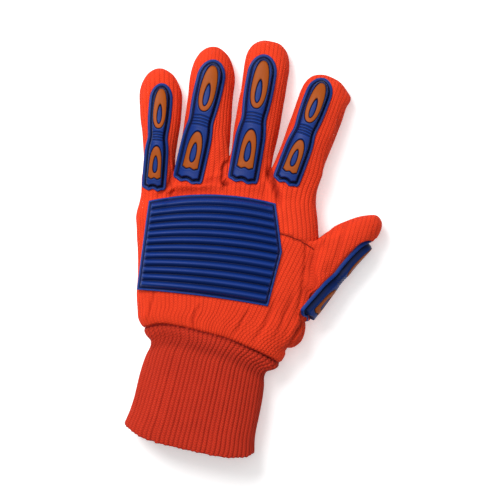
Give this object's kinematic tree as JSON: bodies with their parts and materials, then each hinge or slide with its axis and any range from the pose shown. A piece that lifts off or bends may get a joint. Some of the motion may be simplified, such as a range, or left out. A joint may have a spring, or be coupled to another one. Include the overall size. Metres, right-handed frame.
{
  "type": "impact glove",
  "caption": "Left-hand knitted work glove with moulded rubber guards along the fingers and thumb, a ribbed pad on the back of the hand and a snug knit cuff.",
  "frame": {"origin": "middle of the palm, on the surface the glove lies on", "axes": "+X towards the thumb, +Y along the fingers, +Z out of the back of the hand"},
  "size_m": [0.1671, 0.2703, 0.0404],
  "materials": {
    "cord_knit": "bright orange-red corded knit",
    "cuff_knit": "darker orange-red ribbed knit",
    "guard_rubber": "satin dark blue moulded rubber",
    "inlay_rubber": "satin copper-brown moulded rubber"
  },
  "bodies": {
    "root": {"hand_body": "cord_knit", "finger_little": "cord_knit", "finger_ring": "cord_knit", "finger_middle": "cord_knit", "finger_index": "cord_knit", "thumb": "cord_knit", "knit_cuff": "cuff_knit", "guard_little": "guard_rubber", "guard_ring": "guard_rubber", "guard_middle": "guard_rubber", "guard_index": "guard_rubber", "guard_thumb": "guard_rubber", "back_pad": "guard_rubber", "inlay_little_tip": "inlay_rubber", "inlay_little_base": "inlay_rubber", "inlay_ring_tip": "inlay_rubber", "inlay_ring_base": "inlay_rubber", "inlay_middle_tip": "inlay_rubber", "inlay_middle_base": "inlay_rubber", "inlay_index_tip": "inlay_rubber", "inlay_index_base": "inlay_rubber", "inlay_thumb_tip": "inlay_rubber", "inlay_thumb_base": "inlay_rubber"}
  },
  "joints": []
}
